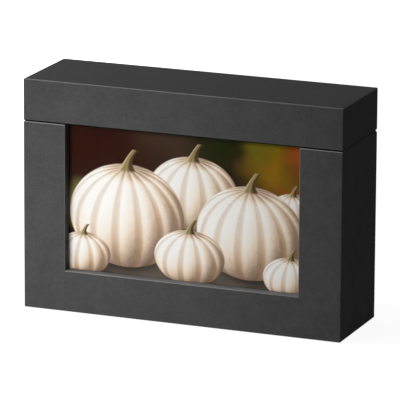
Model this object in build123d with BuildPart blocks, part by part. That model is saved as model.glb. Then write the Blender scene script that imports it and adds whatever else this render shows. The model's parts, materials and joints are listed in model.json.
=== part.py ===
from build123d import *

import os
from math import cos, radians, sin, tan

# Hinged storage box for photo prints, with a picture window in its front.
# Millimetres, +Z up. The origin is the middle of the face that the box stands on.
# The window looks along -Y, and the lid's hinge runs along X at the back.

# --- The print on show, and the window cut for it ---
PRINT_WIDTH = 152.0
PRINT_HEIGHT = 102.0
PRINT_THICKNESS = 0.3
PRINT_MASK = 4.0
WINDOW_WIDTH = PRINT_WIDTH - 2 * PRINT_MASK
WINDOW_HEIGHT = 87.0
WINDOW_EDGE_RADIUS = 0.8

# --- The box round the window ---
STILE_WIDTH = 26.0
RAIL_HEIGHT = 25.0
LID_HEIGHT = 25.0
DEPTH = 58.0
EDGE_RADIUS = 0.7
SEAM_GAP = 0.3

# --- Boards ---
WALL_BOARD = 3.0
FLOOR_BOARD = 3.0
LID_BOARD = 2.5
FRAME_BOARD = 5.0
DIVIDER_BOARD = 2.0
PANEL_BOARD = 1.2

# --- Coverings: the wrap, its turned-in hems, linings, tape and the sheet underneath ---
WRAP = 0.6
HEM = 0.4
BASE_HEM_DEPTH = 15.0
LID_HEM_DEPTH = 12.0
LINING = 0.4
TAPE = 0.4
TAPE_REACH = 11.0
TAPE_END_GAP = 4.0
FOOT_SHEET = 0.5
FOOT_INSET = 3.0

# --- The slot that the print drops into from above ---
CLEAR_SHEET = 0.5
CLEAR_SHEET_HEIGHT = 98.0
SLOT_CLEARANCE = 0.2
SLOT_SIDE_CLEARANCE = 0.3

# --- The neck that stands up inside the closed lid ---
NECK_RISE = 10.0
FIT = 0.2
BACK_PANEL_DROP = 3.0

# --- The hinge groove across the back ---
LID_OPENING = 98.0
GROOVE_DEPTH = 1.2
GROOVE_SPARE_ANGLE = 1.0

# --- Levels, from the face that the box stands on ---
WRAP_FOOT = FOOT_SHEET
BOARD_FOOT = WRAP_FOOT + WRAP
FLOOR_TOP = BOARD_FOOT + FLOOR_BOARD
PRINT_FOOT = RAIL_HEIGHT - PRINT_MASK
SEAM_LEVEL = RAIL_HEIGHT + WINDOW_HEIGHT
BASE_RIM = SEAM_LEVEL - SEAM_GAP / 2
BASE_HEM_FOOT = BASE_RIM - BASE_HEM_DEPTH
NECK_TOP = SEAM_LEVEL + NECK_RISE
LID_RIM = SEAM_LEVEL + SEAM_GAP / 2
LID_HEM_TOP = LID_RIM + LID_HEM_DEPTH
HEIGHT = SEAM_LEVEL + LID_HEIGHT
LID_CEILING = HEIGHT - WRAP - LID_BOARD

# --- Faces along X, each mirrored on the other side ---
SIDE = WINDOW_WIDTH / 2 + STILE_WIDTH
SIDE_CORE = SIDE - WRAP
SIDE_CORE_INNER = SIDE_CORE - WALL_BOARD
SIDE_INNER = SIDE_CORE_INNER - HEM
LID_CORE_INNER = SIDE_CORE - LID_BOARD
LID_INNER = LID_CORE_INNER - HEM

# --- Faces along Y, front to back ---
FRONT = -DEPTH / 2
FRONT_CORE = FRONT + WRAP
LID_FRONT_CORE_INNER = FRONT_CORE + LID_BOARD
LID_FRONT_INNER = LID_FRONT_CORE_INNER + HEM
FRAME_CORE_BACK = FRONT_CORE + FRAME_BOARD
FRAME_BACK = FRAME_CORE_BACK + HEM
DIVIDER_FRONT = FRAME_BACK + CLEAR_SHEET + PRINT_THICKNESS + SLOT_CLEARANCE
DIVIDER_BACK = DIVIDER_FRONT + DIVIDER_BOARD
BACK = DEPTH / 2
BACK_CORE = BACK - WRAP
BACK_CORE_INNER = BACK_CORE - WALL_BOARD
BACK_INNER = BACK_CORE_INNER - HEM
BACK_PANEL_BACK = BACK_INNER - TAPE
BACK_PANEL_FRONT = BACK_PANEL_BACK - PANEL_BOARD

# --- The hinge axis, and the slope of the groove's two faces ---
HINGE_Y = BACK - GROOVE_DEPTH
GROOVE_SLOPE = radians(LID_OPENING / 2 + GROOVE_SPARE_ANGLE)
DOWN = -1
UP = 1

# Distance within which an edge counts as lying on a line or a face
NEAR = 0.01


def across(half_width):
    """Span along X, the same on both sides of the middle."""
    return (-half_width, half_width)


def block(x_span, y_span, z_span, mode=Mode.ADD):
    """In the part being built, a block between two corners."""
    with BuildSketch(Plane.XY.offset(z_span[0])) as footprint:
        with Locations(((x_span[0] + x_span[1]) / 2, (y_span[0] + y_span[1]) / 2)):
            Rectangle(x_span[1] - x_span[0], y_span[1] - y_span[0])
    extrude(footprint.sketch, amount=z_span[1] - z_span[0], mode=mode)


def groove_height(y, inset):
    """Distance from the rim to the groove's face at a depth y, with the face sunk by inset."""
    return ((y - HINGE_Y) * sin(GROOVE_SLOPE) + inset) / cos(GROOVE_SLOPE)


def groove_start(height, inset):
    """Where along Y the groove's face, sunk by inset, is that height away from the rim."""
    return HINGE_Y + (height * cos(GROOVE_SLOPE) - inset) / sin(GROOVE_SLOPE)


def wrapped_block(rim, away, far_level):
    """The outside of the base or the lid as a sharp block, bevelled at the rim for the hinge groove."""
    with BuildSketch(Plane.YZ) as profile:
        with BuildLine():
            Polyline(
                (FRONT, far_level),
                (FRONT, rim),
                (HINGE_Y, rim),
                (BACK, rim + away * groove_height(BACK, 0)),
                (BACK, far_level),
                close=True,
            )
        make_face()
    extrude(profile.sketch, amount=SIDE, both=True)


def is_fold(edge, rim):
    """Whether the edge is the line at the bottom of the groove, where the wrap folds."""
    middle = edge.center()
    return abs(middle.Y - HINGE_Y) < NEAR and abs(middle.Z - rim) < NEAR


def is_window(edge):
    """Whether the edge lies inside the window opening, below the rim."""
    middle = edge.center()
    return (
        abs(middle.X) < WINDOW_WIDTH / 2 + WINDOW_EDGE_RADIUS + NEAR
        and middle.Y < FRAME_BACK + NEAR
        and RAIL_HEIGHT - WINDOW_EDGE_RADIUS - NEAR < middle.Z < BASE_RIM - NEAR
    )


def back_board(rim, away, far_edge):
    """The back wall's board, its rim edge bevelled to follow the hinge groove under the wrap."""
    board_rim = rim + away * WRAP
    with BuildSketch(Plane.YZ) as profile:
        with BuildLine():
            Polyline(
                (BACK_CORE_INNER, board_rim),
                (groove_start(WRAP, WRAP), board_rim),
                (BACK_CORE, rim + away * groove_height(BACK_CORE, WRAP)),
                (BACK_CORE, far_edge),
                (BACK_CORE_INNER, far_edge),
                close=True,
            )
        make_face()
    extrude(profile.sketch, amount=SIDE_CORE, both=True)


# ---------------------------------------------------------------- base: boards

with BuildPart() as base_floor_board:
    block(across(SIDE_CORE_INNER), (FRAME_BACK, BACK_CORE_INNER), (BOARD_FOOT, FLOOR_TOP))
base_floor_board.part.label = "base_floor_board"

with BuildPart() as base_back_board:
    back_board(BASE_RIM, DOWN, BOARD_FOOT)
base_back_board.part.label = "base_back_board"

with BuildPart() as base_left_board:
    block(
        (-SIDE_CORE, -SIDE_CORE_INNER),
        (FRAME_BACK, BACK_CORE_INNER),
        (BOARD_FOOT, BASE_RIM - WRAP),
    )
base_left_board.part.label = "base_left_board"

with BuildPart() as base_right_board:
    mirror(base_left_board.part, about=Plane.YZ)
base_right_board.part.label = "base_right_board"

# ------------------------------------------------- base: frame round the window

with BuildPart() as frame_left_stile:
    block(
        (-SIDE_CORE, -WINDOW_WIDTH / 2 - WRAP),
        (FRONT_CORE, FRAME_CORE_BACK),
        (BOARD_FOOT, BASE_RIM - WRAP),
    )
    window_edge = frame_left_stile.edges().filter_by(Axis.Z).sort_by(Axis.X)[-2:]
    fillet(window_edge.sort_by(Axis.Y)[0], WINDOW_EDGE_RADIUS - WRAP)
frame_left_stile.part.label = "frame_left_stile"

with BuildPart() as frame_right_stile:
    mirror(frame_left_stile.part, about=Plane.YZ)
frame_right_stile.part.label = "frame_right_stile"

with BuildPart() as frame_bottom_rail:
    block(
        across(WINDOW_WIDTH / 2 + WRAP),
        (FRONT_CORE, FRAME_CORE_BACK),
        (BOARD_FOOT, RAIL_HEIGHT - WRAP),
    )
    sill_edge = frame_bottom_rail.edges().filter_by(Axis.X).group_by(Axis.Z)[-1]
    fillet(sill_edge.sort_by(Axis.Y)[0], WINDOW_EDGE_RADIUS - WRAP)
frame_bottom_rail.part.label = "frame_bottom_rail"

# ------------------------------------------------------- base: slot for the print

with BuildPart() as divider_board:
    block(across(SIDE_INNER - FIT), (DIVIDER_FRONT, DIVIDER_BACK), (FLOOR_TOP, NECK_TOP))
divider_board.part.label = "divider_board"

SLOT_SIDE = PRINT_WIDTH / 2 + SLOT_SIDE_CLEARANCE

with BuildPart() as slot_spacer_left:
    block(
        (-SIDE_INNER + FIT, -SLOT_SIDE),
        (FRAME_BACK, DIVIDER_FRONT),
        (FLOOR_TOP, BASE_RIM - WRAP),
    )
slot_spacer_left.part.label = "slot_spacer_left"

with BuildPart() as slot_spacer_right:
    mirror(slot_spacer_left.part, about=Plane.YZ)
slot_spacer_right.part.label = "slot_spacer_right"

with BuildPart() as slot_spacer_bottom:
    block(across(SLOT_SIDE), (FRAME_BACK, DIVIDER_FRONT), (FLOOR_TOP, PRINT_FOOT))
slot_spacer_bottom.part.label = "slot_spacer_bottom"

with BuildPart() as window_sheet:
    block(
        across(PRINT_WIDTH / 2),
        (FRAME_BACK, FRAME_BACK + CLEAR_SHEET),
        (PRINT_FOOT, PRINT_FOOT + CLEAR_SHEET_HEIGHT),
    )
window_sheet.part.label = "window_sheet"

PRINT_FRONT = DIVIDER_FRONT - SLOT_CLEARANCE / 2 - PRINT_THICKNESS

with BuildPart() as display_print:
    block(
        across(PRINT_WIDTH / 2),
        (PRINT_FRONT, PRINT_FRONT + PRINT_THICKNESS),
        (PRINT_FOOT, PRINT_FOOT + PRINT_HEIGHT),
    )
display_print.part.label = "display_print"

# ------------------------------------------------------------- base: coverings

with BuildPart() as base_wrap:
    # The outside, with the window open up to the rim and its edges rounder than the rest
    wrapped_block(BASE_RIM, DOWN, WRAP_FOOT)
    block(across(WINDOW_WIDTH / 2), (FRONT, FRAME_BACK), (RAIL_HEIGHT, BASE_RIM), Mode.SUBTRACT)
    front_edges = base_wrap.edges().filter_by_position(Axis.Y, FRONT - NEAR, FRONT + NEAR)
    fillet(front_edges.filter_by(is_window), WINDOW_EDGE_RADIUS)
    sharp_edges = base_wrap.edges().filter_by(
        lambda edge: not is_fold(edge, BASE_RIM) and not is_window(edge)
    )
    fillet(
        sharp_edges.filter_by(lambda edge: abs(edge.center().Y - FRAME_BACK) > NEAR),
        EDGE_RADIUS,
    )
    # The room inside: narrower by the hems that turn in over the rim
    block(
        across(SIDE_INNER),
        (FRAME_BACK, BACK_INNER),
        (BASE_HEM_FOOT, BASE_RIM),
        Mode.SUBTRACT,
    )
    block(
        across(SIDE_CORE_INNER),
        (FRAME_BACK, BACK_CORE_INNER),
        (BOARD_FOOT, BASE_HEM_FOOT),
        Mode.SUBTRACT,
    )
    # Underneath, the wrap turns in only round the edge
    block(
        across(SIDE - BASE_HEM_DEPTH),
        (FRONT + BASE_HEM_DEPTH, BACK - BASE_HEM_DEPTH),
        (WRAP_FOOT, BOARD_FOOT),
        Mode.SUBTRACT,
    )
    for board in (
        base_back_board,
        base_left_board,
        base_right_board,
        frame_left_stile,
        frame_right_stile,
        frame_bottom_rail,
    ):
        add(board.part, mode=Mode.SUBTRACT)
base_wrap.part.label = "base_wrap"

with BuildPart() as foot_sheet:
    block(
        across(SIDE - FOOT_INSET),
        (FRONT + FOOT_INSET, BACK - FOOT_INSET),
        (0, FOOT_SHEET),
    )
foot_sheet.part.label = "foot_sheet"

# ------------------------------------------------- base: neck panels and lining

with BuildPart() as neck_panel_left:
    block(
        (-SIDE_INNER, -SIDE_INNER + PANEL_BOARD),
        (DIVIDER_BACK, BACK_PANEL_FRONT),
        (FLOOR_TOP, NECK_TOP),
    )
neck_panel_left.part.label = "neck_panel_left"

with BuildPart() as neck_panel_right:
    mirror(neck_panel_left.part, about=Plane.YZ)
neck_panel_right.part.label = "neck_panel_right"

with BuildPart() as back_panel:
    block(
        across(SIDE_INNER),
        (BACK_PANEL_FRONT, BACK_PANEL_BACK),
        (FLOOR_TOP, BASE_RIM - BACK_PANEL_DROP),
    )
back_panel.part.label = "back_panel"

with BuildPart() as floor_lining:
    block(
        across(SIDE_INNER - PANEL_BOARD - FIT),
        (DIVIDER_BACK + FIT, BACK_PANEL_FRONT - FIT),
        (FLOOR_TOP, FLOOR_TOP + LINING),
    )
floor_lining.part.label = "floor_lining"

# --------------------------------------------------------------- lid: boards

with BuildPart() as lid_top_board:
    block(across(SIDE_CORE), (FRONT_CORE, BACK_CORE), (LID_CEILING, HEIGHT - WRAP))
lid_top_board.part.label = "lid_top_board"

with BuildPart() as lid_front_board:
    block(
        across(SIDE_CORE),
        (FRONT_CORE, LID_FRONT_CORE_INNER),
        (LID_RIM + WRAP, LID_CEILING),
    )
lid_front_board.part.label = "lid_front_board"

with BuildPart() as lid_back_board:
    back_board(LID_RIM, UP, LID_CEILING)
lid_back_board.part.label = "lid_back_board"

with BuildPart() as lid_left_board:
    block(
        (-SIDE_CORE, -LID_CORE_INNER),
        (LID_FRONT_CORE_INNER, BACK_CORE_INNER),
        (LID_RIM + WRAP, LID_CEILING),
    )
lid_left_board.part.label = "lid_left_board"

with BuildPart() as lid_right_board:
    mirror(lid_left_board.part, about=Plane.YZ)
lid_right_board.part.label = "lid_right_board"

# ------------------------------------------------------------- lid: coverings

with BuildPart() as lid_wrap:
    wrapped_block(LID_RIM, UP, HEIGHT)
    fillet(lid_wrap.edges().filter_by(lambda edge: not is_fold(edge, LID_RIM)), EDGE_RADIUS)
    block(
        across(LID_INNER),
        (LID_FRONT_INNER, BACK_INNER),
        (LID_RIM, LID_HEM_TOP),
        Mode.SUBTRACT,
    )
    block(
        across(LID_CORE_INNER),
        (LID_FRONT_CORE_INNER, BACK_CORE_INNER),
        (LID_HEM_TOP, LID_CEILING),
        Mode.SUBTRACT,
    )
    for board in (
        lid_top_board,
        lid_front_board,
        lid_back_board,
        lid_left_board,
        lid_right_board,
    ):
        add(board.part, mode=Mode.SUBTRACT)
lid_wrap.part.label = "lid_wrap"

with BuildPart() as lid_lining:
    block(
        across(LID_CORE_INNER),
        (LID_FRONT_CORE_INNER, BACK_CORE_INNER),
        (LID_HEM_TOP, LID_CEILING),
    )
    block(
        across(LID_CORE_INNER - LINING),
        (LID_FRONT_CORE_INNER + LINING, BACK_CORE_INNER - LINING),
        (LID_HEM_TOP, LID_CEILING - LINING),
        Mode.SUBTRACT,
    )
lid_lining.part.label = "lid_lining"

# ------------------------------------------------- hinge tape, in its two halves

TAPE_HALF_LENGTH = SIDE_INNER - TAPE_END_GAP

with BuildPart() as hinge_tape_base:
    block(
        across(TAPE_HALF_LENGTH),
        (BACK_PANEL_BACK, BACK_INNER),
        (BASE_RIM - TAPE_REACH, BASE_RIM),
    )
hinge_tape_base.part.label = "hinge_tape_base"

with BuildPart() as hinge_tape_lid:
    block(
        across(TAPE_HALF_LENGTH),
        (BACK_INNER - TAPE, BACK_INNER),
        (LID_RIM, LID_RIM + TAPE_REACH),
    )
hinge_tape_lid.part.label = "hinge_tape_lid"

# ------------------------------------------------------------------- export

os.makedirs("parts", exist_ok=True)
for piece in (
    base_floor_board,
    base_back_board,
    base_left_board,
    base_right_board,
    frame_left_stile,
    frame_right_stile,
    frame_bottom_rail,
    divider_board,
    slot_spacer_left,
    slot_spacer_right,
    slot_spacer_bottom,
    window_sheet,
    display_print,
    base_wrap,
    foot_sheet,
    neck_panel_left,
    neck_panel_right,
    back_panel,
    floor_lining,
    hinge_tape_base,
    lid_top_board,
    lid_front_board,
    lid_back_board,
    lid_left_board,
    lid_right_board,
    lid_wrap,
    lid_lining,
    hinge_tape_lid,
):
    export_step(piece.part, "parts/" + piece.part.label + ".step")
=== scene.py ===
import json
import math

import bmesh
import bpy
from mathutils import Matrix, Vector


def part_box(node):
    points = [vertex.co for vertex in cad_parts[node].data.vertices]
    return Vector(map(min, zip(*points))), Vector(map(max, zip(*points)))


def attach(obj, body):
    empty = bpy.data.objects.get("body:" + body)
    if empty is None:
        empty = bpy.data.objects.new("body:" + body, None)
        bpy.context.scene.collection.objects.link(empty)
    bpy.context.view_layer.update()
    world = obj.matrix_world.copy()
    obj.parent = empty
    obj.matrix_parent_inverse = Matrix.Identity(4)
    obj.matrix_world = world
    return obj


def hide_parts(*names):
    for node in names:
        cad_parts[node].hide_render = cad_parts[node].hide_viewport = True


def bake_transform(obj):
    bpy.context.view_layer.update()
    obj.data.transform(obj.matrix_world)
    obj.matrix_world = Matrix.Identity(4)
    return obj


# A hinged storage box for photo prints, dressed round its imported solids.
# Metres, +Z up. The picture window looks along -Y, and the lid's hinge runs along X at the back.

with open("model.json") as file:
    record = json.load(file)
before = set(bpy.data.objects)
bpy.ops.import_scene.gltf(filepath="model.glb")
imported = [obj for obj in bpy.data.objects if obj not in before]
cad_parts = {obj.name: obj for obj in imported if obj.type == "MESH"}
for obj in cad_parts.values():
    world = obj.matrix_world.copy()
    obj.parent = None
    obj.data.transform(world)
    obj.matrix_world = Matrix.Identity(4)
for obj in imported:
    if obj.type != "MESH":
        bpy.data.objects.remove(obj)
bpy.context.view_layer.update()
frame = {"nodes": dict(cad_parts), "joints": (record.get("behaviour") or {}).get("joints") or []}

MM = 0.001
X, Y, Z = 0, 1, 2
DOWN = -1
UP = 1

# Distance within which an edge or a face counts as lying in a plane
NEAR = 0.02 * MM

# --- Places read from the solids ---
BASE_LOW, BASE_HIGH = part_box("base_wrap")
LID_LOW, LID_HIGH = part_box("lid_wrap")
STILE_LOW, STILE_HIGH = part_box("frame_left_stile")
SKIN = STILE_LOW.x - BASE_LOW.x
WINDOW_SIDE = -(STILE_HIGH.x + SKIN)
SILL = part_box("frame_bottom_rail")[1].z + SKIN
FRAME_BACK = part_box("window_sheet")[0].y
BASE_INNER_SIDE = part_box("back_panel")[1].x
INNER_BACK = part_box("hinge_tape_base")[1].y
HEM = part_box("base_right_board")[0].x - BASE_INNER_SIDE
LID_INNER_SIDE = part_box("lid_right_board")[0].x - HEM
LID_INNER_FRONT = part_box("lid_front_board")[1].y + HEM
LID_HEM_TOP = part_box("lid_lining")[0].z
TAPE_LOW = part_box("hinge_tape_base")[0]
TAPE_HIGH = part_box("hinge_tape_lid")[1]
HINGE = frame["joints"][0]
HINGE_Y = HINGE["pos_m"][Y]
HINGE_Z = HINGE["pos_m"][Z]

# --- The covering: a sheet folded over the boards ---
SHEET = 0.4 * MM
BASE_HEM_DEPTH = 15 * MM
BASE_HEM_FOOT = BASE_HIGH.z - BASE_HEM_DEPTH
FRAME_HEM = 12 * MM
# A ridge is an edge that turns by more than this
RIDGE_ANGLE = math.radians(60)
OUTER_RADIUS = 0.7 * MM
WINDOW_RADIUS = 0.8 * MM
RIM_RADIUS = 0.5 * MM
GROOVE_SPARE_ANGLE = 1.0
GROOVE_SLOPE = math.radians(HINGE["range_deg"][1] / 2 + GROOVE_SPARE_ANGLE)
GROOVE_DROP = (BASE_HIGH.y - HINGE_Y) * math.tan(GROOVE_SLOPE)
ROUND_STEPS = 5
RIM_STEPS = 3
LIP_RADIUS = 0.25 * MM
SMOOTH_ANGLE = math.radians(35)

# --- The fold at the bottom of the groove, and the tape inside ---
FOLD_THICKNESS = 0.3 * MM
FOLD_LAP = 0.05 * MM
FOLD_STEPS = 4
TAPE_BEND = 4 * MM
TAPE_STEPS = 12

# --- Panels and print ---
PANEL_RADIUS = 0.35 * MM
PRINT_BOW = 0.08 * MM
PRINT_STEPS = 16

# --- Textures, in millimetres ---
CLOUD_SIZE = 12.0
MOTTLE_SIZE = 2.6
GRAIN_SIZE = 0.8
HANDLING_SIZE = 9.0
WAVE_DEPTH = 0.3
GRAIN_DEPTH = 0.08
THREAD_SPACING = 0.45
THREAD_DEPTH = 0.08
# A wave texture of scale 1 has this many bands to a unit
WAVE_BANDS = 20 / (2 * math.pi)
# Clouds and mottle added up, at the darkest and at the lightest of a face
TONE_LOW, TONE_HIGH = 0.7, 1.3

# --- The covering's shades ---
FACE_DARK, FACE_LIGHT = "#464646", "#4e4e4e"
CREASE_SHADE = "#2e2e2e"
# Painted highlight on the folds, and lighter still on the rims at the seam
EDGE_HIGHLIGHT_SHADE = "#7c7c7c"
RIM_HIGHLIGHT_SHADE = "#9e9e9e"
# Painted shadow in the seam
SEAM_SHADOW_SHADE = "#0c0c0c"

# --- The picture: millimetres across from the print's middle, and up from its foot ---
GOURD_TILT = math.radians(24)
GOURD_SUN = (-0.45, 0.62, 0.50)
# How far a rib's flanks, the grooves between ribs and the mottled skin change the light on a gourd
FLANK_LIGHT = 0.22
RIB_DARK = 0.18
SKIN_MOTTLE = 0.28
RIB_TAN = 0.55
TAN_SHADE = "#b98b5c"
# A gourd's shadow on the ground: its shift, then its drop and reach in half-widths of the gourd
SHADOW_SHIFT = 2
SHADOW_DROP = 0.82
SHADOW_WIDTH = 1.25
SHADOW_HEIGHT = 0.55
SHADOW_SHADE = "#1d1511"
# A stalk: its foot in half-widths of the gourd, the rest in heights of the stalk
STALK_FOOT = 0.88
STALK_LEAN = 0.45
STALK_HALF_WIDTH = 0.17
STALK_FLARE = 0.28
# The garden: how far its patches are pushed out of round, and where the painted lid shadow along its top
# sets in
GARDEN_DRIFT = 34
GARDEN_SHADE = "#33231a"
LID_SHADOW_FOOT = 86.5
LID_SHADOW_TOP = 90.5
LID_SHADOW_STRENGTH = 0.75
LID_SHADOW_SHADE = "#0d0705"
# Each patch: centre, reach, colour
GARDEN = [
    ((-55, 85), (60, 60), "#301107"),
    ((-8, 92), (40, 38), "#463426"),
    ((24, 88), (34, 36), "#22280b"),
    ((58, 74), (26, 34), "#8f6a14"),
    ((48, 92), (18, 20), "#868118"),
    ((66, 52), (18, 20), "#9a4a26"),
    ((60, 36), (14, 16), "#5b7d22"),
    ((72, 88), (14, 20), "#a4521f"),
    ((-72, 42), (20, 16), "#7f7a48"),
    ((72, 14), (34, 26), "#55616c"),
    ((0, 4), (110, 26), "#857b6e"),
]
# Each gourd: centre, half-widths across and up, ribs in a whole turn, height of its stalk
GOURDS = [
    ((66, 50), (15, 12), 11, 6),
    ((5, 56), (28, 22), 13, 10),
    ((-36, 39), (36, 31), 15, 12),
    ((40, 36), (33, 28), 14, 11),
    ((-63, 14), (17, 13), 11, 6),
    ((65, 12), (17, 12.5), 12, 6),
    ((3, 18), (22, 16.5), 12, 8),
]

# --- Camera ---
CAMERA_PLACE = Vector((895.6, -2245.0, 688.2)) * MM
# Azimuth, pitch and roll in degrees
CAMERA_ANGLES = (21.74, 14.40, 0.307)
CAMERA_FOCAL_PIXELS = 4322.9
PICTURE_PIXELS = 400
SENSOR = 36.0
CAMERA_CLIP = 50

# --- Lamps: place, point aimed at and size in metres, and watts ---
KEY = ((-0.11, -0.253, 0.06), (0, 0, 0.07), 0.12, 0.63)
OVERHEAD = ((-0.278, -0.10, 0.465), (0, 0, 0.137), 0.20, 1.2)
REAR = ((-0.45, 0.60, 0.07), (0, 0, 0.07), 0.12, 3.5)
WORLD_LIGHT = 0.12
WHITE = "#ffffff"
FLOOR_SIZE = 12
FLOOR_LEVEL = -0.1 * MM
FLOOR_SHADE = "#8c8c8c"
FOOT_INSET = 2 * MM
# The floor's glow near the box, and the distances between which it rises to white
FLOOR_GLOW = 0.93
FLOOR_NEAR = 0.25
FLOOR_FAR = 0.8


# ------------------------------------------------------------------ modelling


def start_block(name, low, high):
    """A block between two corners, in edit mode with nothing selected, from which a piece is shaped."""
    bpy.ops.object.select_all(action="DESELECT")
    bpy.ops.mesh.primitive_cube_add(size=1, location=(low + high) / 2)
    piece = bpy.context.object
    piece.name = name
    piece.data.name = name
    piece.scale = high - low
    bpy.ops.object.transform_apply(location=True, rotation=True, scale=True)
    bpy.ops.object.mode_set(mode="EDIT")
    bpy.ops.mesh.select_all(action="DESELECT")
    return piece


def choose(piece, kind, test):
    """Selects the faces or the edges, as kind says, that pass the test, and nothing else."""
    bpy.ops.mesh.select_all(action="DESELECT")
    bpy.ops.mesh.select_mode(type=kind)
    mesh = bmesh.from_edit_mesh(piece.data)
    for part in mesh.faces if kind == "FACE" else mesh.edges:
        if test(part):
            part.select_set(True)
    mesh.select_flush_mode()
    bmesh.update_edit_mesh(piece.data)


def lies_at(part, axis, level):
    """Whether every corner of a face or an edge is at that level on the axis."""
    return all(abs(corner.co[axis] - level) < NEAR for corner in part.verts)


def middle(part):
    """The mean of a face's or an edge's corners."""
    return sum((corner.co for corner in part.verts), Vector()) / len(part.verts)


def between(part, axis, lowest, highest):
    """Whether the middle of a face or an edge is between two levels on the axis."""
    return lowest < middle(part)[axis] < highest


def cut_at(axis, *levels):
    """Cuts new edges all round the piece being edited, at each level on the axis."""
    for level in levels:
        place, facing = Vector(), Vector()
        place[axis] = level
        facing[axis] = 1
        bpy.ops.mesh.select_all(action="SELECT")
        bpy.ops.mesh.bisect(plane_co=place, plane_no=facing)


def turn_over(piece, test, way):
    """Extrudes the edges that pass the test by the vector, as a sheet's edge is folded on."""
    choose(piece, "EDGE", test)
    bpy.ops.mesh.extrude_edges_move(TRANSFORM_OT_translate={"value": way})


def round_off(piece, radius, test, steps=ROUND_STEPS):
    """Rounds the edges that pass the test."""
    choose(piece, "EDGE", test)
    bpy.ops.mesh.bevel(offset=radius, segments=steps, affect="EDGES", clamp_overlap=False)


def remove_faces(piece, test):
    """Deletes the faces that pass the test."""
    choose(piece, "FACE", test)
    bpy.ops.mesh.delete(type="FACE")


def is_outer_corner(edge):
    """Whether the edge is a right-angled ridge, not a crease."""
    return edge.is_manifold and edge.is_convex and edge.calc_face_angle() > RIDGE_ANGLE


def close_up(piece):
    """Merges the corners that meet and turns the faces outwards."""
    bpy.ops.mesh.select_all(action="SELECT")
    bpy.ops.mesh.remove_doubles(threshold=NEAR)
    bpy.ops.mesh.normals_make_consistent(inside=False)


def finish_piece(piece, thickness=0):
    """Leaves edit mode, gives a sheet its thickness inwards, and shades flats flat and roundings round."""
    bpy.ops.object.mode_set(mode="OBJECT")
    if thickness:
        sheet = piece.modifiers.new("thickness", "SOLIDIFY")
        sheet.thickness = thickness
        sheet.offset = -1
        sheet.use_even_offset = True
        bpy.ops.object.modifier_apply(modifier=sheet.name)
    bpy.ops.object.shade_smooth_by_angle(angle=SMOOTH_ANGLE)
    weights = piece.modifiers.new("flats", "WEIGHTED_NORMAL")
    weights.keep_sharp = True
    bpy.ops.object.modifier_apply(modifier=weights.name)


# ----------------------------------------------------------------- coverings


def fold_groove(piece, rim, way):
    """Slopes the back edge of the rim, so that the wrap has a V to fold in along the hinge."""
    choose(piece, "EDGE", lambda edge: lies_at(edge, Y, BASE_HIGH.y) and lies_at(edge, Z, rim))
    bpy.ops.transform.translate(value=(0, 0, way * GROOVE_DROP))


def round_covering(piece, rim, way, is_inner):
    """Rounds what the boards inside make round: the outside, the turned-in rim and the groove's lip."""
    round_off(piece, OUTER_RADIUS, lambda edge: is_outer_corner(edge) and not is_inner(edge))
    round_off(piece, RIM_RADIUS, lambda edge: is_outer_corner(edge) and is_inner(edge), RIM_STEPS)
    lip = rim + way * GROOVE_DROP
    round_off(
        piece,
        LIP_RADIUS,
        lambda edge: lies_at(edge, Y, BASE_HIGH.y) and lies_at(edge, Z, lip),
        RIM_STEPS,
    )


def base_covering():
    """The sheet over the base: outside, over the rim and down inside, into the window, and underneath."""
    piece = start_block("base_covering", BASE_LOW, BASE_HIGH)
    front, rim = BASE_LOW.y, BASE_HIGH.z

    def in_window(part):
        return between(part, X, -WINDOW_SIDE - NEAR, WINDOW_SIDE + NEAR)

    def is_inner(edge):
        return (
            lies_at(edge, X, BASE_INNER_SIDE)
            or lies_at(edge, X, -BASE_INNER_SIDE)
            or lies_at(edge, Y, INNER_BACK)
            or lies_at(edge, Y, FRAME_BACK)
        )

    # Underneath, the sheet is turned in only round the edge
    choose(piece, "FACE", lambda face: lies_at(face, Z, BASE_LOW.z))
    bpy.ops.mesh.inset(thickness=BASE_HEM_DEPTH, depth=0)
    bpy.ops.mesh.delete(type="FACE")
    # The mouth, and the window from the rim down to the sill
    cut_at(X, -BASE_INNER_SIDE, -WINDOW_SIDE, WINDOW_SIDE, BASE_INNER_SIDE)
    cut_at(Y, FRAME_BACK, INNER_BACK, HINGE_Y)
    cut_at(Z, SILL, BASE_HEM_FOOT)
    remove_faces(
        piece,
        lambda face: lies_at(face, Z, rim)
        and between(face, X, -BASE_INNER_SIDE, BASE_INNER_SIDE)
        and between(face, Y, FRAME_BACK, INNER_BACK),
    )
    remove_faces(
        piece,
        lambda face: in_window(face) and lies_at(face, Z, rim) and between(face, Y, front, FRAME_BACK),
    )
    remove_faces(
        piece,
        lambda face: in_window(face) and lies_at(face, Y, front) and between(face, Z, SILL, rim),
    )
    # Round into the window as deep as the frame, and over the rim down inside
    turn_over(
        piece,
        lambda edge: edge.is_boundary and lies_at(edge, Y, front) and in_window(edge),
        (0, FRAME_BACK - front, 0),
    )
    close_up(piece)
    turn_over(
        piece,
        lambda edge: edge.is_boundary and lies_at(edge, Z, rim),
        (0, 0, -BASE_HEM_DEPTH),
    )
    close_up(piece)
    # Behind the frame, in three flaps that leave their corners open
    for side in (-1, 1):
        turn_over(
            piece,
            lambda edge: edge.is_boundary
            and lies_at(edge, Y, FRAME_BACK)
            and lies_at(edge, X, side * WINDOW_SIDE),
            (side * FRAME_HEM, 0, 0),
        )
    turn_over(
        piece,
        lambda edge: edge.is_boundary and lies_at(edge, Y, FRAME_BACK) and lies_at(edge, Z, SILL),
        (0, 0, -FRAME_HEM),
    )
    close_up(piece)
    fold_groove(piece, rim, DOWN)
    round_off(
        piece,
        WINDOW_RADIUS,
        lambda edge: is_outer_corner(edge)
        and lies_at(edge, Y, front)
        and in_window(edge)
        and between(edge, Z, SILL - NEAR, rim - NEAR),
    )
    round_covering(piece, rim, DOWN, is_inner)
    finish_piece(piece, SHEET)
    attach(piece, "base")
    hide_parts("base_wrap")
    return piece


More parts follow.
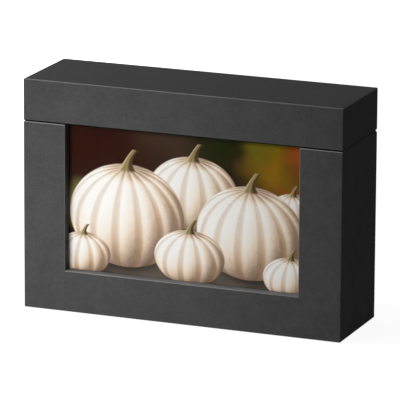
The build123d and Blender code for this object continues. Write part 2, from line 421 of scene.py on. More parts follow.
def lid_covering():
    """The sheet over the lid: outside, over the rim and up inside as far as the lining."""
    piece = start_block("lid_covering", LID_LOW, LID_HIGH)
    rim = LID_LOW.z

    def is_inner(edge):
        return (
            lies_at(edge, X, LID_INNER_SIDE)
            or lies_at(edge, X, -LID_INNER_SIDE)
            or lies_at(edge, Y, LID_INNER_FRONT)
            or lies_at(edge, Y, INNER_BACK)
        )

    cut_at(X, -LID_INNER_SIDE, LID_INNER_SIDE)
    cut_at(Y, LID_INNER_FRONT, INNER_BACK, HINGE_Y)
    remove_faces(
        piece,
        lambda face: lies_at(face, Z, rim)
        and between(face, X, -LID_INNER_SIDE, LID_INNER_SIDE)
        and between(face, Y, LID_INNER_FRONT, INNER_BACK),
    )
    turn_over(
        piece,
        lambda edge: edge.is_boundary and lies_at(edge, Z, rim),
        (0, 0, LID_HEM_TOP - rim),
    )
    close_up(piece)
    fold_groove(piece, rim, UP)
    round_covering(piece, rim, UP, is_inner)
    finish_piece(piece, SHEET)
    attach(piece, "lid")
    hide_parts("lid_wrap")
    return piece


def wrap_fold():
    """The line at the bottom of the groove where the one sheet runs on from the base to the lid."""
    low = Vector((BASE_LOW.x + OUTER_RADIUS, HINGE_Y - FOLD_THICKNESS, BASE_HIGH.z - FOLD_LAP))
    high = Vector((BASE_HIGH.x - OUTER_RADIUS, HINGE_Y, LID_LOW.z + FOLD_LAP))
    piece = start_block("wrap_fold", low, high)
    cut_at(Z, *spaced(low.z, high.z, FOLD_STEPS))
    finish_piece(piece)
    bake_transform(piece)
    return piece


# -------------------------------------------------------------- inside pieces


def spaced(lowest, highest, count):
    """The levels that cut a length into so many equal steps."""
    return [lowest + (highest - lowest) * step / count for step in range(1, count)]


def hinge_tape():
    """One strip of book cloth glued inside across the seam, which is what the lid turns on."""
    piece = start_block("hinge_tape", TAPE_LOW, TAPE_HIGH)
    cut_at(Z, *spaced(HINGE_Z - TAPE_BEND, HINGE_Z + TAPE_BEND, TAPE_STEPS))
    finish_piece(piece)
    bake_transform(piece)
    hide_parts("hinge_tape_base", "hinge_tape_lid")
    return piece


def covered_panel(node):
    """A board wrapped in lining paper, which rounds its edges a little."""
    low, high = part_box(node)
    piece = start_block(node + "_covered", low, high)
    round_off(piece, PANEL_RADIUS, is_outer_corner, RIM_STEPS)
    finish_piece(piece)
    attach(piece, "base")
    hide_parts(node)
    return piece


def print_card():
    """The print on show: a thin card that bows a little in its slot."""
    low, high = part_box("display_print")
    piece = start_block("print_card", low, high)
    cut_at(X, *spaced(low.x, high.x, PRINT_STEPS))
    cut_at(Z, *spaced(low.z, high.z, PRINT_STEPS))
    finish_piece(piece)
    for corner in piece.data.vertices:
        across = math.cos(math.pi * corner.co.x / (high.x - low.x))
        corner.co.y -= PRINT_BOW * across
    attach(piece, "base")
    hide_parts("display_print")
    return piece


# ------------------------------------------------------------------ materials


def colour(code):
    """A linear colour from its sRGB hex code."""
    parts = [int(code[at : at + 2], 16) / 255 for at in (1, 3, 5)]
    linear = [part / 12.92 if part <= 0.04045 else ((part + 0.055) / 1.055) ** 2.4 for part in parts]
    return (*linear, 1)


def per(millimetres):
    """The texture scale at which a pattern repeats once in so many millimetres."""
    return 1 / (millimetres * MM)


def add(tree, kind, inputs=None, stops=None, **settings):
    """Adds a shader node with its settings, its colour stops, and its inputs set or linked."""
    made = tree.nodes.new("ShaderNode" + kind)
    for name, value in settings.items():
        setattr(made, name, value)
    for name, value in (inputs or {}).items():
        if isinstance(value, bpy.types.NodeSocket):
            tree.links.new(value, made.inputs[name])
        else:
            made.inputs[name].default_value = value
    if stops:
        ramp = made.color_ramp.elements
        while len(ramp) < len(stops):
            ramp.new(1)
        for element, (position, code) in zip(ramp, stops):
            element.position = position
            element.color = colour(code)
    return made


def new_material(name):
    """An empty material, its node tree and its Principled shader."""
    material = bpy.data.materials.new(name)
    material.use_nodes = True
    tree = material.node_tree
    tree.nodes.clear()
    shader = add(tree, "BsdfPrincipled")
    add(tree, "OutputMaterial", {"Surface": shader.outputs["BSDF"]})
    return material, tree, shader


def leatherette():
    """Charcoal leather-look covering: a matt skin cast on paper and embossed with a fine close grain.

    The eye gets a soft, even face with faint clouds where glue and board show through, a pebbled grain
    close up, folded edges with a painted highlight, and a painted shadow in the seam.
    """
    material, tree, shader = new_material("leatherette_embossed_matt")
    place = add(tree, "TexCoord").outputs
    normal = add(tree, "SeparateXYZ", {"Vector": place["Normal"]}).outputs
    point = add(tree, "SeparateXYZ", {"Vector": place["Object"]}).outputs
    clouds = add(
        tree,
        "TexNoise",
        {"Vector": place["Object"], "Scale": per(CLOUD_SIZE), "Detail": 2.0, "Roughness": 0.5},
    ).outputs["Fac"]
    mottle = add(
        tree,
        "TexNoise",
        {"Vector": place["Object"], "Scale": per(MOTTLE_SIZE), "Detail": 2.0, "Roughness": 0.6},
    ).outputs["Fac"]
    tone = add(tree, "Math", {0: clouds, 1: mottle}, operation="ADD").outputs[0]
    # The real grain is finer, about 0.4 mm: drawn coarser, it can be seen close up
    grain = add(
        tree,
        "TexVoronoi",
        {"Vector": place["Object"], "Scale": per(GRAIN_SIZE)},
        feature="DISTANCE_TO_EDGE",
    ).outputs["Distance"]
    pebbles = add(
        tree,
        "MapRange",
        {"Value": grain, "From Min": 0.0, "From Max": 0.3, "To Min": 0.0, "To Max": 1.0},
        interpolation_type="SMOOTHSTEP",
    ).outputs[0]
    level = add(
        tree,
        "MapRange",
        {"Value": tone, "From Min": TONE_LOW, "From Max": TONE_HIGH, "To Min": 0.0, "To Max": 1.0},
    ).outputs[0]
    face = add(
        tree,
        "ValToRGB",
        {"Fac": level},
        stops=[(0.0, FACE_DARK), (1.0, FACE_LIGHT)],
    ).outputs["Color"]
    crease = add(
        tree,
        "MapRange",
        {"Value": grain, "From Min": 0.0, "From Max": 0.18, "To Min": 0.4, "To Max": 0.0},
    ).outputs[0]
    face = add(
        tree,
        "Mix",
        {"Factor": crease, "A": face, "B": colour(CREASE_SHADE)},
        data_type="RGBA",
    ).outputs[2]
    # 1 at the seam, as far up and down from it as the lips of the groove reach
    at_seam = add(
        tree,
        "Math",
        {0: point["Z"], 1: HINGE_Z, 2: GROOVE_DROP + LIP_RADIUS},
        operation="COMPARE",
    ).outputs[0]
    # Painted highlight, lightest on the rims at the seam
    highlight_colour = add(
        tree,
        "Mix",
        {"Factor": at_seam, "A": colour(EDGE_HIGHLIGHT_SHADE), "B": colour(RIM_HIGHLIGHT_SHADE)},
        data_type="RGBA",
    ).outputs[2]
    # The folds and the sill get a painted highlight
    painted_light = add(
        tree,
        "Mix",
        {"Factor": painted_edge_highlight(tree, normal, point, at_seam, tone), "A": face, "B": highlight_colour},
        data_type="RGBA",
    ).outputs[2]
    # Painted shadow: the turn under the lid's edge and the seam along the sides are darkened
    turned = add(
        tree,
        "MapRange",
        {"Value": normal["Z"], "From Min": -0.02, "From Max": -0.3, "To Min": 0.0, "To Max": 1.0},
    ).outputs[0]
    leaning = add(tree, "Math", {0: normal["Z"]}, operation="ABSOLUTE").outputs[0]
    side_turn = add(
        tree,
        "MapRange",
        {"Value": leaning, "From Min": 0.1, "From Max": 0.4, "To Min": 0.0, "To Max": 1.0},
    ).outputs[0]
    outward = add(tree, "Math", {0: point["X"]}, operation="ABSOLUTE").outputs[0]
    at_side = add(
        tree,
        "Math",
        {0: outward, 1: BASE_HIGH.x - LIP_RADIUS},
        operation="GREATER_THAN",
    ).outputs[0]
    side_turn = add(tree, "Math", {0: side_turn, 1: at_side}, operation="MULTIPLY").outputs[0]
    turned = add(tree, "Math", {0: turned, 1: side_turn}, operation="MAXIMUM").outputs[0]
    seam_shadow = add(tree, "Math", {0: at_seam, 1: turned}, operation="MULTIPLY").outputs[0]
    # The seam gets its painted shadow
    painted_light = add(
        tree,
        "Mix",
        {"Factor": seam_shadow, "A": painted_light, "B": colour(SEAM_SHADOW_SHADE)},
        data_type="RGBA",
    ).outputs[2]
    tree.links.new(painted_light, shader.inputs["Base Color"])
    roughness = add(
        tree,
        "MapRange",
        {"Value": tone, "From Min": TONE_LOW, "From Max": TONE_HIGH, "To Min": 0.68, "To Max": 0.8},
    ).outputs[0]
    tree.links.new(roughness, shader.inputs["Roughness"])
    shader.inputs["Specular IOR Level"].default_value = 0.015
    # The board and the glue show through as shallow waves, and the grain is pressed in on top
    waves = add(
        tree,
        "Bump",
        {"Height": clouds, "Strength": 0.25, "Distance": WAVE_DEPTH * MM},
    ).outputs[0]
    embossed = add(
        tree,
        "Bump",
        {"Height": pebbles, "Strength": 0.8, "Distance": GRAIN_DEPTH * MM, "Normal": waves},
    ).outputs[0]
    tree.links.new(embossed, shader.inputs["Normal"])
    return material


def painted_edge_highlight(tree, normal, point, at_seam, tone):
    """Where a highlight is painted: on folds, most on those that face up, not in the groove."""
    # A fold is where no axis is square to the surface
    square = 0.0
    for axis in ("X", "Y", "Z"):
        size = add(tree, "Math", {0: normal[axis]}, operation="ABSOLUTE").outputs[0]
        square = add(tree, "Math", {0: square, 1: size}, operation="MAXIMUM").outputs[0]
    fold = add(
        tree,
        "MapRange",
        {"Value": square, "From Min": 0.985, "From Max": 0.87, "To Min": 0.0, "To Max": 1.0},
    ).outputs[0]
    # The window's sill, the only face in sight below the seam that looks up, gets the painted highlight
    # too
    low = add(tree, "Math", {0: point["Z"], 1: SILL + SHEET}, operation="LESS_THAN").outputs[0]
    looks_up = add(tree, "Math", {0: normal["Z"], 1: 0.9}, operation="GREATER_THAN").outputs[0]
    sill = add(tree, "Math", {0: low, 1: looks_up}, operation="MULTIPLY").outputs[0]
    painted_light = add(tree, "Math", {0: sill, 1: fold}, operation="MAXIMUM").outputs[0]
    # The painted highlight is stronger where a fold faces up
    upward = add(
        tree,
        "MapRange",
        {"Value": normal["Z"], "From Min": 0.0, "From Max": 0.45, "To Min": 0.45, "To Max": 1.0},
    ).outputs[0]
    patchy = add(
        tree,
        "MapRange",
        {"Value": tone, "From Min": TONE_LOW, "From Max": TONE_HIGH, "To Min": 0.75, "To Max": 1.0},
    ).outputs[0]
    behind = add(tree, "Math", {0: point["Y"], 1: INNER_BACK}, operation="GREATER_THAN").outputs[0]
    groove = add(tree, "Math", {0: behind, 1: at_seam}, operation="MULTIPLY").outputs[0]
    outside_groove = add(tree, "Math", {0: 1.0, 1: groove}, operation="SUBTRACT").outputs[0]
    highlight = add(tree, "Math", {0: painted_light, 1: upward}, operation="MULTIPLY").outputs[0]
    highlight = add(tree, "Math", {0: highlight, 1: patchy}, operation="MULTIPLY").outputs[0]
    return add(tree, "Math", {0: highlight, 1: outside_groove}, operation="MULTIPLY").outputs[0]


def fibrous(name, codes, fibre_length, fibre_width, roughness, depth):
    """Paper or board: fibres lying flat, in a darker, a middle and a lighter shade.

    The fibres' length and width and the depth of their relief are in millimetres.
    """
    material, tree, shader = new_material(name)
    place = add(tree, "TexCoord").outputs["Object"]
    stretched = add(
        tree,
        "Mapping",
        {"Vector": place, "Scale": (per(fibre_length), per(fibre_width), per(fibre_width))},
    ).outputs[0]
    fibres = add(
        tree,
        "TexNoise",
        {"Vector": stretched, "Scale": 1.0, "Detail": 5.0, "Roughness": 0.7, "Distortion": 0.6},
    ).outputs["Fac"]
    shade = add(
        tree,
        "ValToRGB",
        {"Fac": fibres},
        stops=[(0.25, codes[0]), (0.5, codes[1]), (0.78, codes[2])],
    ).outputs["Color"]
    tree.links.new(shade, shader.inputs["Base Color"])
    relief = add(
        tree,
        "Bump",
        {"Height": fibres, "Strength": 0.5, "Distance": depth * MM},
    ).outputs[0]
    tree.links.new(relief, shader.inputs["Normal"])
    shader.inputs["Roughness"].default_value = roughness
    shader.inputs["Specular IOR Level"].default_value = 0.03
    return material


def book_cloth():
    """Black book cloth: a plain weave, filled with size.

    The eye gets a dull black with a fine check, where the threads cross over and under.
    """
    material, tree, shader = new_material("book_cloth_plain_weave")
    place = add(tree, "TexCoord").outputs["Object"]
    threads = []
    for direction in ("X", "Z"):
        threads.append(
            add(
                tree,
                "TexWave",
                {"Vector": place, "Scale": per(THREAD_SPACING) / WAVE_BANDS, "Distortion": 0.3},
                bands_direction=direction,
            ).outputs["Fac"]
        )
    weave = add(tree, "Math", {0: threads[0], 1: threads[1]}, operation="MULTIPLY").outputs[0]
    shade = add(
        tree,
        "ValToRGB",
        {"Fac": weave},
        stops=[(0.0, "#141414"), (1.0, "#343436")],
    ).outputs["Color"]
    tree.links.new(shade, shader.inputs["Base Color"])
    relief = add(
        tree,
        "Bump",
        {"Height": weave, "Strength": 0.6, "Distance": THREAD_DEPTH * MM},
    ).outputs[0]
    tree.links.new(relief, shader.inputs["Normal"])
    shader.inputs["Roughness"].default_value = 0.85
    shader.inputs["Specular IOR Level"].default_value = 0.03
    return material


def clear_film():
    """Clear rigid film, calendered smooth: the eye gets only a faint trace of handling.

    What gloss the window has is given by the print behind it.
    """
    material, tree, shader = new_material("clear_film_calendered")
    place = add(tree, "TexCoord").outputs["Object"]
    handling = add(
        tree,
        "TexNoise",
        {"Vector": place, "Scale": per(HANDLING_SIZE), "Detail": 3.0},
    ).outputs["Fac"]
    trace = add(
        tree,
        "ValToRGB",
        {"Fac": handling},
        stops=[(0.35, "#0c0d0e"), (0.7, "#24262a")],
    ).outputs["Color"]
    tree.links.new(trace, shader.inputs["Base Color"])
    shader.inputs["Roughness"].default_value = 0.12
    shader.inputs["IOR"].default_value = 1.5
    shader.inputs["Specular IOR Level"].default_value = 0.0
    shader.inputs["Alpha"].default_value = 0.06
    return material


# ------------------------------------------------- the picture on the print


def start_group(name, sockets):
    """An empty node group with these inputs, which lays one colour over another."""
    tree = bpy.data.node_groups.new(name, "ShaderNodeTree")
    for socket, kind in sockets.items():
        tree.interface.new_socket(socket, in_out="INPUT", socket_type="NodeSocket" + kind)
    tree.interface.new_socket("Colour", in_out="OUTPUT", socket_type="NodeSocketColor")
    given = tree.nodes.new("NodeGroupInput").outputs
    result = tree.nodes.new("NodeGroupOutput").inputs
    return tree, given, result


def patch_group():
    """A soft-edged patch of colour laid over what is under it, as something far out of focus."""
    tree, given, result = start_group(
        "blurred_patch",
        {"Point": "Vector", "Centre": "Vector", "Reach": "Vector", "Colour": "Color", "Under": "Color"},
    )
    offset = add(tree, "VectorMath", {0: given["Point"], 1: given["Centre"]}, operation="SUBTRACT")
    share = add(tree, "VectorMath", {0: offset.outputs[0], 1: given["Reach"]}, operation="DIVIDE")
    away = add(tree, "VectorMath", {0: share.outputs[0]}, operation="LENGTH").outputs["Value"]
    cover = add(
        tree,
        "MapRange",
        {"Value": away, "From Min": 1.0, "From Max": 0.0, "To Min": 0.0, "To Max": 1.0},
        interpolation_type="SMOOTHSTEP",
    )
    laid = add(
        tree,
        "Mix",
        {"Factor": cover.outputs[0], "A": given["Under"], "B": given["Colour"]},
        data_type="RGBA",
    )
    tree.links.new(laid.outputs[2], result["Colour"])
    return tree


def gourd_group():
    """A ribbed cream gourd lit from the upper left, laid over what is under it."""
    tree, given, result = start_group(
        "cream_gourd",
        {"Point": "Vector", "Centre": "Vector", "Reach": "Vector", "Ribs": "Float", "Under": "Color"},
    )
    # The gourd is a ball squashed to its half-widths: Y points out of the picture
    offset = add(tree, "VectorMath", {0: given["Point"], 1: given["Centre"]}, operation="SUBTRACT")
    share = add(
        tree,
        "VectorMath",
        {0: offset.outputs[0], 1: given["Reach"]},
        operation="DIVIDE",
    ).outputs[0]
    square = add(tree, "VectorMath", {0: share, 1: share}, operation="DOT_PRODUCT").outputs["Value"]
    depth = add(tree, "Math", {0: 1.0, 1: square}, operation="SUBTRACT", use_clamp=True).outputs[0]
    towards = add(tree, "Math", {0: depth}, operation="SQRT").outputs[0]
    outward = add(tree, "CombineXYZ", {"Y": towards}).outputs[0]
    ball = add(tree, "VectorMath", {0: share, 1: outward}, operation="ADD").outputs[0]
    # Seen from a little above: the stalk end leans towards the eye
    leant = add(
        tree,
        "VectorRotate",
        {"Vector": ball, "Angle": GOURD_TILT},
        rotation_type="X_AXIS",
    ).outputs[0]
    across, facing, polar = add(tree, "SeparateXYZ", {"Vector": leant}).outputs
    turn = add(tree, "Math", {0: across, 1: facing}, operation="ARCTAN2").outputs[0]
    ribs = add(tree, "Math", {0: turn, 1: given["Ribs"]}, operation="MULTIPLY").outputs[0]
    crest = add(tree, "Math", {0: ribs}, operation="COSINE").outputs[0]
    flank = add(tree, "Math", {0: ribs}, operation="SINE").outputs[0]
    # The side of a rib that faces the sun is lighter
    sideways = add(tree, "VectorMath", {0: leant, 1: (0, 0, 1)}, operation="CROSS_PRODUCT").outputs[0]
    sideways = add(tree, "VectorMath", {0: sideways}, operation="NORMALIZE").outputs[0]
    sunny = add(tree, "VectorMath", {0: sideways, 1: GOURD_SUN}, operation="DOT_PRODUCT").outputs["Value"]
    relief = add(tree, "Math", {0: flank, 1: sunny}, operation="MULTIPLY").outputs[0]
    crease = add(
        tree,
        "MapRange",
        {"Value": crest, "From Min": -0.1, "From Max": -1.0, "To Min": 0.0, "To Max": 1.0},
        interpolation_type="SMOOTHSTEP",
    ).outputs[0]
    dimple = add(
        tree,
        "MapRange",
        {"Value": polar, "From Min": 0.84, "From Max": 1.0, "To Min": 0.0, "To Max": 0.6},
        interpolation_type="SMOOTHSTEP",
    ).outputs[0]
    skin = add(
        tree,
        "TexNoise",
        {"Vector": given["Point"], "Scale": 0.35, "Detail": 5.0, "Roughness": 0.65},
    ).outputs["Fac"]
    light = add(tree, "VectorMath", {0: ball, 1: GOURD_SUN}, operation="DOT_PRODUCT").outputs["Value"]
    shade = add(tree, "Math", {0: relief, 1: FLANK_LIGHT, 2: light}, operation="MULTIPLY_ADD").outputs[0]
    shade = add(tree, "Math", {0: crease, 1: -RIB_DARK, 2: shade}, operation="MULTIPLY_ADD").outputs[0]
    shade = add(tree, "Math", {0: skin, 1: SKIN_MOTTLE, 2: shade}, operation="MULTIPLY_ADD").outputs[0]
    shade = add(tree, "Math", {0: shade, 1: dimple}, operation="SUBTRACT").outputs[0]
    shade = add(
        tree,
        "MapRange",
        {"Value": shade, "From Min": -0.6, "From Max": 1.2, "To Min": 0.0, "To Max": 1.0},
    ).outputs[0]
    painted = add(
        tree,
        "ValToRGB",
        {"Fac": shade},
        stops=[
            (0.00, "#64503f"),
            (0.33, "#a08876"),
            (0.47, "#cfb69d"),
            (0.58, "#edd9c2"),
            (0.69, "#faf0e2"),
            (0.86, "#fffdf8"),
        ],
    ).outputs["Color"]
    # The grooves between the ribs are tanned, here more and there less
    tan = add(tree, "Math", {0: crease, 1: skin}, operation="MULTIPLY").outputs[0]
    tan = add(tree, "Math", {0: tan, 1: RIB_TAN}, operation="MULTIPLY").outputs[0]
    tanned = add(tree, "Mix", {"Factor": tan, "A": painted, "B": colour(TAN_SHADE)}, data_type="RGBA")
    inside = add(
        tree,
        "MapRange",
        {"Value": square, "From Min": 1.0, "From Max": 0.95, "To Min": 0.0, "To Max": 1.0},
        interpolation_type="SMOOTHSTEP",
    ).outputs[0]
    laid = add(
        tree,
        "Mix",
        {"Factor": inside, "A": given["Under"], "B": tanned.outputs[2]},
        data_type="RGBA",
    )
    tree.links.new(laid.outputs[2], result["Colour"])
    return tree


def stalk_group():
    """A short dry stalk that leans to the right, laid over what is under it."""
    tree, given, result = start_group(
        "dry_stalk",
        {"Point": "Vector", "Foot": "Vector", "Reach": "Vector", "Under": "Color"},
    )
    # Counted in stalk heights from its foot
    offset = add(tree, "VectorMath", {0: given["Point"], 1: given["Foot"]}, operation="SUBTRACT")
    share = add(tree, "VectorMath", {0: offset.outputs[0], 1: given["Reach"]}, operation="DIVIDE")
    across, _, up = add(tree, "SeparateXYZ", {"Vector": share.outputs[0]}).outputs
    rise = add(tree, "Clamp", {"Value": up}).outputs[0]
    bend = add(tree, "Math", {0: rise, 1: 2.0}, operation="POWER").outputs[0]
    beside = add(tree, "Math", {0: bend, 1: -STALK_LEAN, 2: across}, operation="MULTIPLY_ADD").outputs[0]
    below = add(tree, "Math", {0: 1.0, 1: rise}, operation="SUBTRACT").outputs[0]
    flare = add(tree, "Math", {0: below, 1: 3.0}, operation="POWER").outputs[0]
    half = add(
        tree,
        "Math",
        {0: flare, 1: STALK_FLARE, 2: STALK_HALF_WIDTH},
        operation="MULTIPLY_ADD",
    ).outputs[0]
    side = add(tree, "Math", {0: beside, 1: half}, operation="DIVIDE").outputs[0]
    reach = add(tree, "Math", {0: side}, operation="ABSOLUTE").outputs[0]
    within = add(
        tree,
        "MapRange",
        {"Value": reach, "From Min": 1.05, "From Max": 0.85, "To Min": 0.0, "To Max": 1.0},
    ).outputs[0]
    under_tip = add(
        tree,
        "MapRange",
        {"Value": up, "From Min": 1.04, "From Max": 0.97, "To Min": 0.0, "To Max": 1.0},
    ).outputs[0]
    above_foot = add(
        tree,
        "MapRange",
        {"Value": up, "From Min": -0.16, "From Max": -0.02, "To Min": 0.0, "To Max": 1.0},
    ).outputs[0]
    cover = add(tree, "Math", {0: within, 1: under_tip}, operation="MULTIPLY").outputs[0]
    cover = add(tree, "Math", {0: cover, 1: above_foot}, operation="MULTIPLY").outputs[0]
    furrows = add(tree, "Math", {0: side, 1: 7.0}, operation="MULTIPLY").outputs[0]
    furrows = add(tree, "Math", {0: furrows}, operation="COSINE").outputs[0]
    shade = add(tree, "Math", {0: side, 1: -0.5, 2: 0.5}, operation="MULTIPLY_ADD").outputs[0]
    shade = add(tree, "Math", {0: furrows, 1: 0.12, 2: shade}, operation="MULTIPLY_ADD").outputs[0]
    painted = add(
        tree,
        "ValToRGB",
        {"Fac": shade},
        stops=[(0.05, "#3b2c1c"), (0.45, "#7a6440"), (0.8, "#b7a473"), (1.0, "#d2c49a")],
    ).outputs["Color"]
    laid = add(tree, "Mix", {"Factor": cover, "A": given["Under"], "B": painted}, data_type="RGBA")
    tree.links.new(laid.outputs[2], result["Colour"])
    return tree


def printed_picture():
    """Gloss photo paper, dye-printed edge to edge: cream gourds in front of a garden out of focus.

    The eye gets soft deep colours under a slight sheen. The pattern's point counts millimetres from
    the middle of the print's foot, across and up.
    """
    material, tree, shader = new_material("photo_paper_gloss_printed")
    foot = Vector((0, 0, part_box("display_print")[0].z))
    place = add(tree, "TexCoord").outputs["Object"]
    point = add(
        tree,
        "Mapping",
        {"Vector": place, "Location": -foot / MM, "Scale": (1 / MM, 0.0, 1 / MM)},
    ).outputs[0]
    drift = add(
        tree,
        "TexNoise",
        {"Vector": point, "Scale": 0.035, "Detail": 2.0},
    ).outputs["Color"]
    shift = add(
        tree,
        "VectorMath",
        {0: drift, 1: (0.5, 0.5, 0.5)},
        operation="SUBTRACT",
    ).outputs[0]
    loose = add(
        tree,
        "VectorMath",
        {0: shift, 1: (GARDEN_DRIFT, 0, GARDEN_DRIFT), 2: point},
        operation="MULTIPLY_ADD",
    ).outputs[0]
    patch, gourd, stalk = patch_group(), gourd_group(), stalk_group()
    painted = colour(GARDEN_SHADE)
    for centre, reach, code in GARDEN:
        painted = add(
            tree,
            "Group",
            node_tree=patch,
            inputs={
                "Point": loose,
                "Centre": (centre[0], 0, centre[1]),
                "Reach": (reach[0], 1, reach[1]),
                "Colour": colour(code),
                "Under": painted,
            },
        ).outputs["Colour"]
    for centre, reach, ribs, stalk_height in GOURDS:
        painted = add(
            tree,
            "Group",
            node_tree=patch,
            inputs={
                "Point": point,
                "Centre": (centre[0] + SHADOW_SHIFT, 0, centre[1] - SHADOW_DROP * reach[1]),
                "Reach": (SHADOW_WIDTH * reach[0], 1, SHADOW_HEIGHT * reach[1]),
                "Colour": colour(SHADOW_SHADE),
                "Under": painted,
            },
        ).outputs["Colour"]
        painted = add(
            tree,
            "Group",
            node_tree=gourd,
            inputs={
                "Point": point,
                "Centre": (centre[0], 0, centre[1]),
                "Reach": (reach[0], 1, reach[1]),
                "Ribs": ribs,
                "Under": painted,
            },
        ).outputs["Colour"]
        painted = add(
            tree,
            "Group",
            node_tree=stalk,
            inputs={
                "Point": point,
                "Foot": (centre[0], 0, centre[1] + STALK_FOOT * reach[1]),
                "Reach": (stalk_height, 1, stalk_height),
                "Under": painted,
            },
        ).outputs["Colour"]
    # Painted shadow of the lid along the top of the picture
    up = add(tree, "SeparateXYZ", {"Vector": point}).outputs["Z"]
    lid_shadow = add(
        tree,
        "MapRange",
        {
            "Value": up,
            "From Min": LID_SHADOW_FOOT,
            "From Max": LID_SHADOW_TOP,
            "To Min": 0.0,
            "To Max": LID_SHADOW_STRENGTH,
        },
        interpolation_type="SMOOTHSTEP",
    ).outputs[0]
    painted = add(tree, "Mix", {"Factor": lid_shadow, "A": painted, "B": colour(LID_SHADOW_SHADE)}, data_type="RGBA")
    tree.links.new(painted.outputs[2], shader.inputs["Base Color"])
    shader.inputs["Roughness"].default_value = 0.30
    shader.inputs["Specular IOR Level"].default_value = 0.03
    return material


def dress(piece, material):
    """Gives the whole piece one material."""
    piece.data.materials.clear()
    piece.data.materials.append(material)


def dress_print(piece, picture, back):
    """Puts the picture on the face that looks out of the window, and bare paper on the rest."""
    dress(piece, picture)
    piece.data.materials.append(back)
    for face in piece.data.polygons:
        face.material_index = 0 if face.normal.y < -0.5 else 1


# --------------------------------------------------------------------- studio


def camera():
    """The view of the box: from the front right and a little above."""
    azimuth, pitch, roll = (math.radians(angle) for angle in CAMERA_ANGLES)
    forward = Vector(
        (-math.sin(azimuth) * math.cos(pitch), math.cos(azimuth) * math.cos(pitch), -math.sin(pitch))
    )
    level = Vector((math.cos(azimuth), math.sin(azimuth), 0))
    above = level.cross(forward)
    right = level * math.cos(roll) + above * math.sin(roll)
    up = above * math.cos(roll) - level * math.sin(roll)
    data = bpy.data.cameras.new("camera")
    data.sensor_width = SENSOR
    data.lens = CAMERA_FOCAL_PIXELS / PICTURE_PIXELS * SENSOR
    data.clip_end = CAMERA_CLIP
    made = bpy.data.objects.new("camera", data)
    turn = Matrix((right, up, -forward)).transposed().to_4x4()
    made.matrix_world = Matrix.Translation(CAMERA_PLACE) @ turn
    bpy.context.scene.collection.objects.link(made)
    bpy.context.scene.camera = made


def softbox(name, place, aim, size, power):
    """A soft square lamp that faces a point. It isn't seen itself, nor its glare in the window."""
    data = bpy.data.lights.new(name, "AREA")
    data.shape = "SQUARE"
    data.size = size
    data.energy = power
    made = bpy.data.objects.new(name, data)
    made.location = place
    made.rotation_mode = "QUATERNION"
    made.rotation_quaternion = (Vector(aim) - Vector(place)).to_track_quat("-Z", "Y")
    made.visible_camera = False
    made.visible_glossy = False
    bpy.context.scene.collection.objects.link(made)


def seen_directly(tree):
    """1 for rays that show the background itself: from the camera, or by way of gloss or glass."""
    path = add(tree, "LightPath").outputs
    gloss = add(
        tree,
        "Math",
        {0: path["Is Glossy Ray"], 1: path["Is Transmission Ray"]},
        operation="MAXIMUM",
    )
    return add(
        tree,
        "Math",
        {0: path["Is Camera Ray"], 1: gloss.outputs[0]},
        operation="MAXIMUM",
    ).outputs[0]


def white_world():
    """White where it is seen, and a weak plain light on the object."""
    world = bpy.data.worlds.new("studio")
    bpy.context.scene.world = world
    world.use_nodes = True
    tree = world.node_tree
    tree.nodes.clear()
    seen = seen_directly(tree)
    strength = add(
        tree,
        "MapRange",
        {"Value": seen, "To Min": WORLD_LIGHT, "To Max": 1.0},
    )
    light = add(tree, "Background", {"Color": colour(WHITE), "Strength": strength.outputs[0]})
    add(tree, "OutputWorld", {"Surface": light.outputs[0]})


def floor():
    """A pale floor that is seen as white and keeps the soft shadow of the box."""
    bpy.ops.object.select_all(action="DESELECT")
    bpy.ops.mesh.primitive_plane_add(size=FLOOR_SIZE, location=(0, 0, FLOOR_LEVEL))
    piece = bpy.context.object
    piece.name = "studio_floor"
    material = bpy.data.materials.new("white_paper_sweep")
    material.use_nodes = True
    tree = material.node_tree
    tree.nodes.clear()
    paper = add(tree, "BsdfDiffuse", {"Color": colour(FLOOR_SHADE)})
    # The sweep brightens away from the box, up to the white of the world
    place = add(tree, "TexCoord").outputs["Object"]
    away = add(tree, "VectorMath", {0: place}, operation="LENGTH").outputs["Value"]
    brightness = add(
        tree,
        "MapRange",
        {
            "Value": away,
            "From Min": FLOOR_NEAR,
            "From Max": FLOOR_FAR,
            "To Min": FLOOR_GLOW,
            "To Max": 1.0,
        },
    ).outputs[0]
    glow = add(tree, "Emission", {"Color": colour(WHITE), "Strength": brightness})
    both = add(tree, "AddShader", {0: paper.outputs[0], 1: glow.outputs[0]})
    shown = add(
        tree,
        "MixShader",
        {0: seen_directly(tree), 1: paper.outputs[0], 2: both.outputs[0]},
    )
    # Clear from beneath, and where the foot covers it, so that the foot can be looked at
    spot = add(tree, "SeparateXYZ", {"Vector": place}).outputs
    foot_side = BASE_HIGH.x - FOOT_INSET
    foot_back = BASE_HIGH.y - FOOT_INSET
    in_width = add(tree, "Math", {0: spot["X"], 1: 0.0, 2: foot_side}, operation="COMPARE")
    in_depth = add(tree, "Math", {0: spot["Y"], 1: 0.0, 2: foot_back}, operation="COMPARE")
    at_foot = add(tree, "Math", {0: in_width.outputs[0], 1: in_depth.outputs[0]}, operation="MULTIPLY")
    beneath = add(tree, "NewGeometry").outputs["Backfacing"]
    open_floor = add(tree, "Math", {0: at_foot.outputs[0], 1: beneath}, operation="MAXIMUM").outputs[0]
    clear = add(tree, "BsdfTransparent").outputs[0]
    laid = add(tree, "MixShader", {0: open_floor, 1: shown.outputs[0], 2: clear})
    add(tree, "OutputMaterial", {"Surface": laid.outputs[0]})
    piece.data.materials.append(material)


# ---------------------------------------------------------------- the object

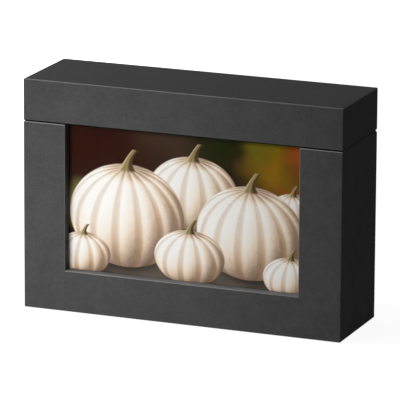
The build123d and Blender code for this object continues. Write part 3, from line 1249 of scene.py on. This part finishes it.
BOARD_NODES = [node for node in frame["nodes"] if node.endswith("_board") and node != "divider_board"]
FRAME_NODES = ["frame_left_stile", "frame_right_stile", "frame_bottom_rail"]
SPACER_NODES = ["slot_spacer_left", "slot_spacer_right", "slot_spacer_bottom"]
PANEL_NODES = ["divider_board", "neck_panel_left", "neck_panel_right", "back_panel"]
LINING_NODES = ["floor_lining", "lid_lining"]

covering = leatherette()
for piece in (base_covering(), lid_covering(), wrap_fold()):
    dress(piece, covering)
dress(hinge_tape(), book_cloth())

# Lining paper, uncoated: a dull charcoal with a soft fibrous tooth
lining = fibrous("lining_paper_uncoated", ("#2a2a2c", "#343437", "#404043"), 1.6, 0.35, 0.9, 0.03)
for node in PANEL_NODES:
    dress(covered_panel(node), lining)
for node in LINING_NODES:
    dress(frame["nodes"][node], lining)

# The back of photo paper: off-white, nearly smooth, faintly streaked by its fibres
paper = fibrous("photo_paper_back", ("#e4e2dc", "#efeee9", "#f6f5f1"), 1.2, 0.3, 0.6, 0.01)
dress_print(print_card(), printed_picture(), paper)
dress(frame["nodes"]["window_sheet"], clear_film())

# Greyboard, rolled from waste paper: rough and dull, in flecks of several greys
greyboard = fibrous("greyboard_recycled", ("#6f6c66", "#8d8a84", "#a7a49c"), 2.5, 0.5, 0.95, 0.05)
for node in BOARD_NODES + SPACER_NODES:
    dress(frame["nodes"][node], greyboard)

# Fibreboard, pressed from wood and sawn: an even dull tan of short fine fibres
fibreboard = fibrous("fibreboard_raw", ("#8a6f4e", "#a58a68", "#bda583"), 1.2, 0.25, 0.9, 0.03)
for node in FRAME_NODES:
    dress(frame["nodes"][node], fibreboard)

# Foot paper, embossed all over: near-black, with an even tooth that runs no way
foot_paper = fibrous("foot_paper_embossed", ("#1f1f20", "#29292a", "#353536"), 0.9, 0.9, 0.85, 0.06)
dress(frame["nodes"]["foot_sheet"], foot_paper)

camera()
white_world()
floor()
softbox("key", *KEY)
softbox("overhead", *OVERHEAD)
softbox("rear", *REAR)

bpy.context.scene.view_settings.view_transform = "Standard"
